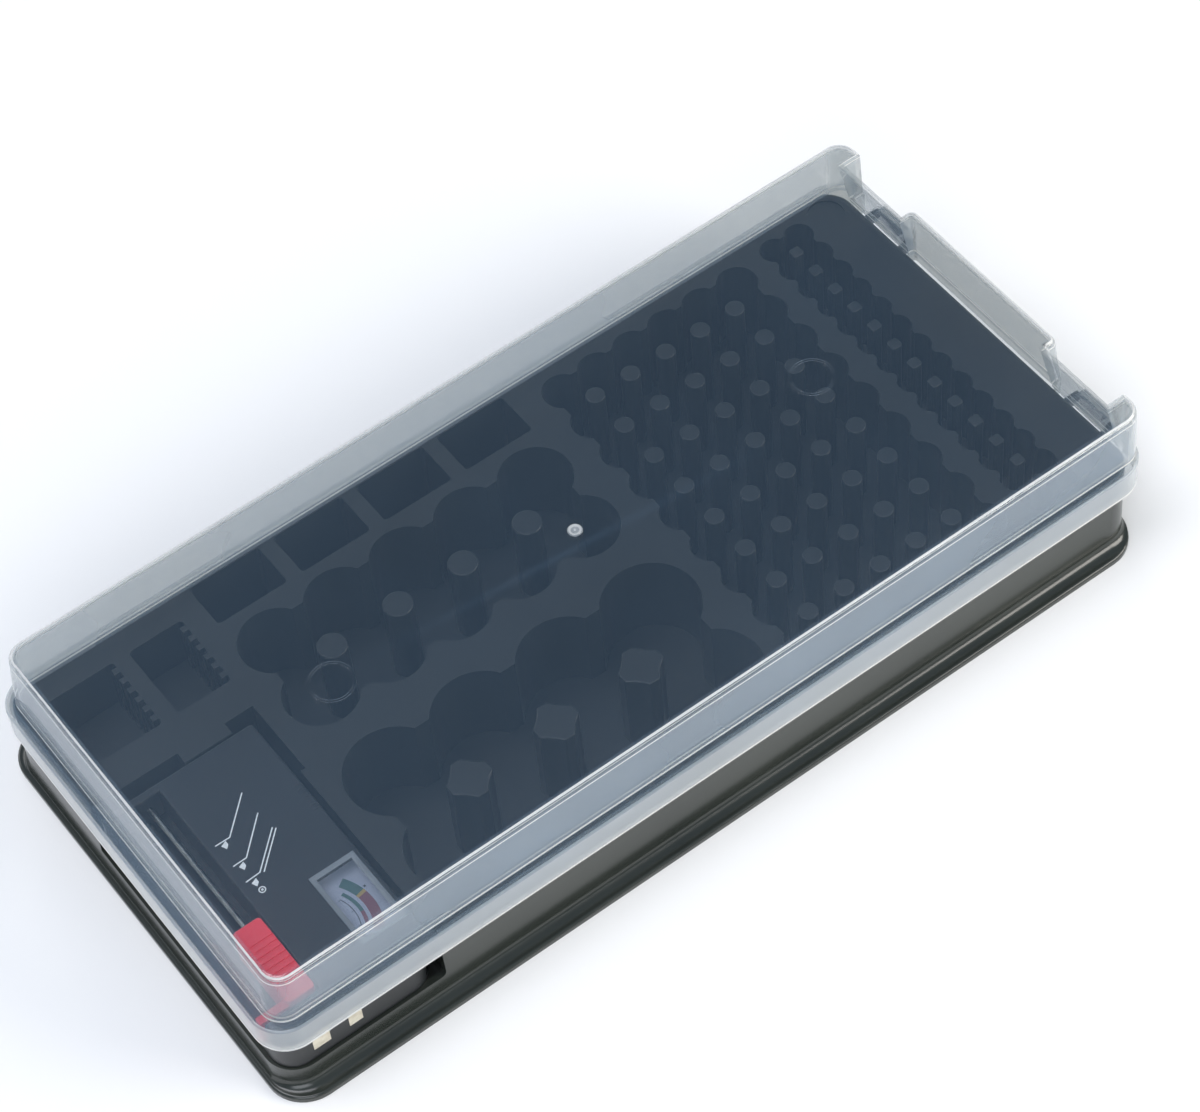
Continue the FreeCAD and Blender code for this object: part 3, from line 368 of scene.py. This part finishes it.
cardLooks = {  # name of the material: dark and light tone, size of the fibre in millimetres, roughness
    "coatedDialCard": {"dark": "#c9c7dd", "light": "#dcdaea", "fibreSize": 0.4, "roughness": 0.5},
    "greenScreenInk": {"dark": "#14605a", "light": "#1d736b", "fibreSize": 0.3, "roughness": 0.45},
    "redScreenInk": {"dark": "#8e2a43", "light": "#a3344e", "fibreSize": 0.3, "roughness": 0.45},
    "yellowScreenInk": {"dark": "#d8a83a", "light": "#e8bb4e", "fibreSize": 0.3, "roughness": 0.45},
    "blackScreenInk": {"dark": "#2a2b3d", "light": "#38394b", "fibreSize": 0.3, "roughness": 0.5},
    "whitePadPrint": {"dark": "#d9dde0", "light": "#f2f4f5", "fibreSize": 0.35, "roughness": 0.5},
    "greenSolderMask": {"dark": "#17492a", "light": "#1f5c36", "fibreSize": 1.5, "roughness": 0.3},
    "tanLacquer": {"dark": "#b79c6c", "light": "#c9b084", "fibreSize": 0.8, "roughness": 0.35}}
cards = {name: printedCard(name, look) for name, look in cardLooks.items()}

paneLook = {"through": "#f3f6f8", "dust": "#ccd4dc", "dustSize": 0.9, "dustRange": (0.03, 0.10), "gloss": 0.1}


def clearPane(name, look):
    # cast acrylic pane: nearly all goes straight through, with a sharp gloss and faint dust
    material, tree = newMaterial(name)
    coords = addNode(tree, "ShaderNodeTexCoord").outputs["Object"]
    dust = addNode(tree, "ShaderNodeTexNoise", {"Scale": perMetre(look["dustSize"]), "Detail": 5.0},
                   {"Vector": coords})
    least, most = look["dustRange"]
    share = addNode(tree, "ShaderNodeMapRange",
                    {"From Min": 0.35, "From Max": 0.75, "To Min": least, "To Max": most},
                    {"Value": dust.outputs["Fac"]})
    through = addNode(tree, "ShaderNodeBsdfTransparent", {"Color": hexColour(look["through"])})
    scatter = addNode(tree, "ShaderNodeBsdfPrincipled",
                      {"Base Color": hexColour(look["dust"]), "Roughness": look["gloss"]})
    body = addNode(tree, "ShaderNodeMixShader", None,
                   {0: share.outputs["Result"], 1: through.outputs["BSDF"], 2: scatter.outputs["BSDF"]})
    addNode(tree, "ShaderNodeOutputMaterial", None, {"Surface": body.outputs["Shader"]})
    return material


windowPane = clearPane("clearAcrylicPane", paneLook)

rimLook = {  # polystyrene, grey, moulded round the dial's window
    "dark": "#70767c", "light": "#7e848a", "roughness": 0.3, "roughSpread": 0.04, "ior": 1.5, "flowSize": 8,
    "grainSize": 0.5, "grainDepth": 0.02, "grainStrength": 0.3}
windowRim = mouldedPlastic("greyPolystyreneRim", rimLook)
print("materials made")

# CAD nodes and what they are made of
nodeWear = {
    trayShadeDarkenedPlastic: ["tray_deck", "aa_tub", "aaa_tub", "c_tub", "d_tub", "nine_volt_tubs", "button_tubs",
                  "tester_bay"],
    testerPlastic: ["tester_back", "tester_cover"],
    sliderPlastic: ["slider"],
    nickelPlate: ["slider_contact", "fixed_contact", "nine_volt_contacts"],
    drawnSteel: ["slider_rail", "slider_spring", "tester_screws", "meter_yoke", "meter_pivot"],
    sinteredMagnet: ["meter_magnet"],
    copperWinding: ["meter_coil"],
    pressedAluminium: ["meter_bridge"],
    blackLacquer: ["meter_needle"],
    windowPane: ["meter_window"],
    cards["coatedDialCard"]: ["meter_dial"],
    cards["greenSolderMask"]: ["test_board"],
    cards["tanLacquer"]: ["load_resistors"]}
for material, names in nodeWear.items():
    for name in names:
        wearMaterial(name, material)


# lid, tray shell and posts: the CAD solids' own skins, shaded smooth, and the lid's milkiness

skinPlan = {"mergeWithin": 0.01, "flatWithin": 0.5, "sharpFrom": 32, "roundFrom": 40, "roundSteps": 2}
postRounds = [("d_posts", "dPosts", 0.5), ("c_posts", "cPosts", 0.4), ("aa_posts", "aaPosts", 0.3),
              ("aaa_posts", "aaaPosts", 0.25)]  # node, new piece, round of its edges in millimetres


def mergedSkin(nodeName, newName, material, body, edgeRound=0):
    # the CAD solid's own skin, with its doubles merged and its flat triangles joined, shaded smooth:
    # the normal at a corner is the mean of its faces' normals by area, and sharp edges stay sharp;
    # where a piece asks for it, they get a round of so many millimetres
    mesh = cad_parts[nodeName].data.copy()
    mesh.name = newName
    piece = bpy.data.objects.new(newName, mesh)
    bpy.context.scene.collection.objects.link(piece)
    work = bmesh.new()
    work.from_mesh(mesh)
    bmesh.ops.remove_doubles(work, verts=work.verts, dist=skinPlan["mergeWithin"] * mm)
    level = math.radians(skinPlan["flatWithin"])
    bmesh.ops.dissolve_limit(work, angle_limit=level, verts=work.verts, edges=work.edges)
    work.to_mesh(mesh)
    work.free()
    mesh.materials.clear()
    mesh.materials.append(material)
    count = len(mesh.polygons)
    mesh.polygons.foreach_set("use_smooth", np.ones(count, bool))
    mesh.polygons.foreach_set("material_index", np.zeros(count, np.int32))
    mesh.set_sharp_from_angle(angle=math.radians(skinPlan["sharpFrom"]))
    mesh.update()
    if edgeRound:
        bevel = piece.modifiers.new("edgeRound", "BEVEL")
        bevel.width = edgeRound * mm
        bevel.segments = skinPlan["roundSteps"]
        bevel.limit_method = "ANGLE"
        bevel.angle_limit = math.radians(skinPlan["roundFrom"])
    weights = piece.modifiers.new("faceAreaNormals", "WEIGHTED_NORMAL")
    weights.mode = "FACE_AREA"
    weights.keep_sharp = True
    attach(piece, body)
    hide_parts(nodeName)
    return piece


def lidMilk(piece, look):
    # How milky each face is, as a function of its direction and place: nearly none on the flat top
    # and the leaning walls over the hinge bars, more on the blasted walls, and most on the band, the
    # hinge end and the round edge of the ledge.
    mesh = piece.data
    count = len(mesh.polygons)
    normals = np.zeros(count * 3, np.float32)
    centres = np.zeros(count * 3, np.float32)
    mesh.polygons.foreach_get("normal", normals)
    mesh.polygons.foreach_get("center", centres)
    tilt = np.abs(normals.reshape(-1, 3)[:, 2])
    along, height = centres.reshape(-1, 3)[:, [0, 2]].T / mm
    flat = tilt > look["flatFrom"]
    rounded = (tilt > look["roundFrom"]) & ~flat
    hingeEnd = along > look["endFrom"]
    leastLean, mostLean = look["recessLean"]
    milk = np.where(hingeEnd, look["endHaze"], look["wallHaze"])
    milk[hingeEnd & (tilt > leastLean) & (tilt < mostLean)] = look["recessHaze"]
    milk[height < look["bandBelow"]] = look["bandHaze"]
    milk[rounded] = look["edgeHaze"]
    milk[rounded & (height < look["rimBelow"])] = look["rimHaze"]
    milk[flat] = look["ledgeHaze"]
    milk[flat & (height > look["clearAbove"])] = look["clearHaze"]
    mesh.attributes.new("milk", "FLOAT", "FACE").data.foreach_set("value", milk.astype(np.float32))


mergedSkin("tray_shell", "trayShell", shellPlastic, "tray")
for nodeName, newName, edgeRound in postRounds:
    mergedSkin(nodeName, newName, trayShadeDarkenedPlastic, "tray", edgeRound)
lidMilk(mergedSkin("lid", "lidShell", lidPlastic, "lid"), lidLook)
print("skins merged")


# print on the tester: three leader lines with pointer tips and a plain ring

testerPrint = {
    "level": 37.9, "thickness": 0.02, "line": 0.45,
    "leaders": [[(-159.0, -11.7), (-153.3, -11.8), (-140.5, 0.3)],
                [(-158.6, -22.0), (-153.3, -21.9), (-140.7, -9.7)],
                [(-158.6, -29.7), (-152.9, -29.4), (-140.1, -17.5)],
                [(-151.7, -30.1), (-139.2, -18.4)]],
    "tips": [(-156.3, -13.6), (-156.1, -24.0), (-156.3, -31.9)],  # the pointers' middles
    "tipCorners": [(1.15, -0.3), (1.15, 1.5), (-1.15, 0.6), (-0.23, -1.5)],  # from a pointer's middle
    "ring": (-155.9, -35.4), "ringBand": (0.9, 1.3), "dotBand": (0.05, 0.45)}


def makeTesterPrint(look):
    low = look["level"]
    high = low + look["thickness"]
    skins = [stripPath(path, look["line"], low, high) for path in look["leaders"]]
    skins += [flatShape(np.array(look["tipCorners"]) + tip, low, high) for tip in look["tips"]]
    skins += [arcBand(look["ring"], *look[band], 0, 360, low, high) for band in ("ringBand", "dotBand")]
    points, faces = joinSkins(skins)
    makePiece("testerPrint", points, faces, cards["whitePadPrint"], "tester")


makeTesterPrint(testerPrint)

# the dial: coloured arcs round the needle's pivot
dialPrint = {  # each arc: inner and outer radius, first and last angle in degrees
    "pivot": (-150.6, -57.6), "level": 32.1, "thickness": 0.02,
    "dialGreen": ("greenScreenInk", [(19.2, 22.8, 33, 12.5), (16.6, 17.9, 26, -6)]),
    "dialYellow": ("yellowScreenInk", [(19.2, 22.8, 12.5, 9)]),
    "dialRed": ("redScreenInk", [(19.2, 22.8, 9, -33), (16.6, 17.9, -6, -26)]),
    "dialMarks": ("blackScreenInk", [(23.4, 24.2, 14.5, 12.5), (23.4, 24.2, -33, -35), (15.0, 15.3, 24, -24),
                                     (14.2, 15.2, 24.6, 23.8), (14.2, 15.2, 0.4, -0.4),
                                     (14.2, 15.2, -23.8, -24.6)])}


def makeDialPrint(look):
    low = look["level"]
    high = low + look["thickness"]
    for name in ("dialGreen", "dialYellow", "dialRed", "dialMarks"):
        ink, arcs = look[name]
        points, faces = joinSkins([arcBand(look["pivot"], *arc, low, high) for arc in arcs])
        makePiece(name, points, faces, cards[ink], "tester")


makeDialPrint(dialPrint)

# frame round the dial's window, moulded with the pane and bevelled inward
windowFrame = {"low": 37.9, "rise": 0.25, "width": 1.9, "bevel": 0.9}


def makeWindowFrame(look):
    # a profile of four corners carried round the pane's edge
    lowCorner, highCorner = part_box("meter_window")
    x0, y0, x1, y1 = [v / mm for v in (lowCorner.x, lowCorner.y, highCorner.x, highCorner.y)]
    insets = np.array([0.0, 0.0, look["bevel"], look["width"]])
    heights = look["low"] + np.array([0.0, look["rise"], look["rise"], 0.0])
    corners = np.array([(x0, y0, 1, 1), (x1, y0, -1, 1), (x1, y1, -1, -1), (x0, y1, 1, -1)], float)
    x = corners[:, :1] + corners[:, 2:3] * insets
    y = corners[:, 1:2] + corners[:, 3:4] * insets
    sections = np.stack([x, y, np.broadcast_to(heights, x.shape)], -1)
    sides = 4
    i, j = np.meshgrid(np.arange(sides), np.arange(sides), indexing="ij")
    n, m = (i + 1) % sides, (j + 1) % sides
    faces = np.stack([i * sides + j, n * sides + j, n * sides + m, i * sides + m], -1).reshape(-1, 4)
    makePiece("windowFrame", sections.reshape(-1, 3), faces, windowRim, "tester")


makeWindowFrame(windowFrame)

# ribs for the fingertip on the tester's right edge
gripRibs = {"count": 7, "first": -8.7, "last": -20.4, "left": -125.6, "right": -122.9, "width": 0.8,
            "rise": 0.28, "level": 37.9, "sink": 0.05, "steps": 7, "endTurn": 0.12, "fullness": 0.4}


def makeGripRibs(look):
    # each rib is a low profile carried along x, whose height is a power of a sine over its length
    steps = look["steps"]
    x = np.linspace(look["left"], look["right"], steps)
    turn = np.linspace(look["endTurn"], math.pi - look["endTurn"], steps)
    top = look["level"] + look["rise"] * np.sin(turn) ** look["fullness"]
    foot = np.full(steps, look["level"] - look["sink"])
    half = look["width"] / 2
    skins = []
    for y in np.linspace(look["first"], look["last"], look["count"]):
        ring = np.stack([np.stack([x, np.full(steps, y - half), foot], -1),
                         np.stack([x, np.full(steps, y + half), foot], -1),
                         np.stack([x, np.full(steps, y + half / 2), top], -1),
                         np.stack([x, np.full(steps, y - half / 2), top], -1)], 1)
        skins.append(ringGrid(ring[:, ::-1]))
    points, faces = joinSkins(skins)
    makePiece("testerGripRibs", points, faces, testerPlastic, "tester")


makeGripRibs(gripRibs)

# the nib left by the mould's gate, in the middle of the lid
gateNib = {  # its profile is radius and height over the lid's top, turned in steps of so many degrees
    "centre": (0.1, 0.7), "top": 63.8, "rim": (1.4, 2.4), "pip": 0.5, "rimHaze": 0.7, "restHaze": 0.1,
    "profile": [(0.0, 0.24), (0.45, 0.2), (0.7, 0.05), (1.5, 0.05), (1.9, 0.28), (2.3, 0.28), (2.7, 0.0),
                (2.7, -0.1)], "step": 10}


def makeGateNib(look):
    # a surface of revolution: a low rim round a dimple with a small pip
    profile = np.array(look["profile"])
    turn = np.radians(np.arange(0, 360, look["step"]))
    r, z = profile[1:].T
    x = look["centre"][0] + np.cos(turn)[:, None] * r
    y = look["centre"][1] + np.sin(turn)[:, None] * r
    points = np.stack([x, y, np.broadcast_to(look["top"] + z, x.shape)], -1).reshape(-1, 3)
    middle = len(points)
    points = np.vstack([points, [look["centre"][0], look["centre"][1], look["top"] + profile[0, 1]]])
    n, m = len(turn), len(r)
    i = np.arange(n)
    k = (i + 1) % n
    fan = np.stack([np.full(n, middle), i * m, k * m], -1)
    i, j = np.meshgrid(i, np.arange(m - 1), indexing="ij")
    k = (i + 1) % n
    skirt = np.stack([i * m + j, i * m + j + 1, k * m + j + 1, k * m + j], -1).reshape(-1, 4)
    faces = fan.tolist() + skirt.tolist() + [(np.arange(n) * m + m - 1)[::-1].tolist()]
    piece = makePiece("lidGateNib", points, faces, lidPlastic, "lid", smooth=True)
    milk = piece.data.attributes.new("milk", "FLOAT", "FACE")
    centres = np.zeros(len(piece.data.polygons) * 3, np.float32)
    piece.data.polygons.foreach_get("center", centres)
    away = np.hypot(*(centres.reshape(-1, 3)[:, :2] / mm - look["centre"]).T)
    # the rim and the pip get the higher haze, which paints their highlight
    onRim = (away > look["rim"][0]) & (away < look["rim"][1])
    haze = np.where(onRim | (away < look["pip"]), look["rimHaze"], look["restHaze"])
    milk.data.foreach_set("value", haze.astype(np.float32))


makeGateNib(gateNib)
print("pieces made")


# floor, light and camera

floorLook = {"reach": 6.0, "colour": "#f9f8f5", "roughness": 0.9, "fibreSize": 2.0, "fibreStrength": 0.05,
             "fibreDepth": 0.1}


def makeFloor(look):
    mesh = bpy.data.meshes.new("studioFloor")
    reach = look["reach"]
    corners = [(-reach, -reach, 0), (reach, -reach, 0), (reach, reach, 0), (-reach, reach, 0)]
    mesh.from_pydata(corners, [], [(0, 1, 2, 3)])
    material, tree = newMaterial("whitePaperSweep")
    coords = addNode(tree, "ShaderNodeTexCoord").outputs["Object"]
    fibre = addNode(tree, "ShaderNodeTexNoise", {"Scale": perMetre(look["fibreSize"]), "Detail": 3.0},
                    {"Vector": coords})
    bump = addNode(tree, "ShaderNodeBump",
                   {"Strength": look["fibreStrength"], "Distance": look["fibreDepth"] * mm},
                   {"Height": fibre.outputs["Fac"]})
    shader = addNode(tree, "ShaderNodeBsdfPrincipled",
                     {"Base Color": hexColour(look["colour"]), "Roughness": look["roughness"]},
                     {"Normal": bump.outputs["Normal"]})
    addNode(tree, "ShaderNodeOutputMaterial", None, {"Surface": shader.outputs["BSDF"]})
    mesh.materials.append(material)
    floor = bpy.data.objects.new("studioFloor", mesh)
    bpy.context.scene.collection.objects.link(floor)


makeFloor(floorLook)

lightPlan = {  # name: (place in metres, aimed at, width, height, watts, colour)
    "keySoftbox": ((1.5, -1.35, 0.95), (0, 0, 0), 1.6, 1.1, 39.0, "#fffaf2"),
    "fillSoftbox": ((-1.2, -1.3, 1.2), (0, 0, 0), 1.3, 1.1, 13.0, "#f6f9ff"),
    "topSoftbox": ((-0.7, 0.3, 2.2), (0, 0, 0), 1.2, 1.6, 26.0, "#fbfaff"),
    "backSoftbox": ((-0.2, 2.1, 0.9), (0, 0, 0.05), 3.0, 1.2, 20.0, "#ffffff"),
    "frontStrip": ((0.45, -1.6, 0.75), (0, 0, 0), 2.4, 0.05, 1.5, "#ffffff"),
    "leftStrip": ((-1.7, 0.75, 0.7), (0, 0, 0), 2.0, 0.05, 1.0, "#f2f2ff")}
airPlan = {"strength": 0.5, "horizon": "#454d57", "middle": "#8fa3bc", "zenith": "#a9c0de",
           "middleAt": 0.25}


def makeLights(plan, air):
    # softboxes and strips, and a sky that darkens towards the horizon as a studio's walls do
    for name, (place, aim, width, height, watts, colour) in plan.items():
        lamp = bpy.data.lights.new(name, "AREA")
        lamp.shape = "RECTANGLE"
        lamp.size, lamp.size_y = width, height
        lamp.energy = watts
        lamp.color = hexColour(colour)[:3]
        holder = bpy.data.objects.new(name, lamp)
        holder.location = place
        holder.rotation_euler = (Vector(aim) - Vector(place)).to_track_quat("-Z", "Y").to_euler()
        bpy.context.scene.collection.objects.link(holder)
    world = bpy.data.worlds.new("studioAir")
    world.use_nodes = True
    tree = world.node_tree
    backdrop = tree.nodes["Background"]
    backdrop.inputs["Strength"].default_value = air["strength"]
    way = addNode(tree, "ShaderNodeTexCoord")
    rise = addNode(tree, "ShaderNodeSeparateXYZ", None, {"Vector": way.outputs["Generated"]})
    tone = addNode(tree, "ShaderNodeValToRGB", None, {"Fac": rise.outputs["Z"]})
    tone.color_ramp.elements[0].color = hexColour(air["horizon"])
    tone.color_ramp.elements[1].color = hexColour(air["zenith"])
    tone.color_ramp.elements.new(air["middleAt"]).color = hexColour(air["middle"])
    tree.links.new(tone.outputs["Color"], backdrop.inputs["Color"])
    bpy.context.scene.world = world


makeLights(lightPlan, airPlan)

cameraPlan = {"place": (-0.37328, -0.62588, 1.03745), "turn": (34.867, 3.814, -36.566), "lens": 107.73,
              "shift": (0.0, 0.07)}


def makeCamera(plan):
    lens = bpy.data.cameras.new("photoCamera")
    lens.sensor_width = 36
    lens.lens = plan["lens"]
    lens.shift_x, lens.shift_y = plan["shift"]
    lens.clip_start = 0.01
    camera = bpy.data.objects.new("photoCamera", lens)
    camera.location = plan["place"]
    camera.rotation_euler = [math.radians(a) for a in plan["turn"]]
    bpy.context.scene.collection.objects.link(camera)
    bpy.context.scene.camera = camera


makeCamera(cameraPlan)
bpy.context.scene.view_settings.view_transform = "Standard"
print("floor, light and camera set")
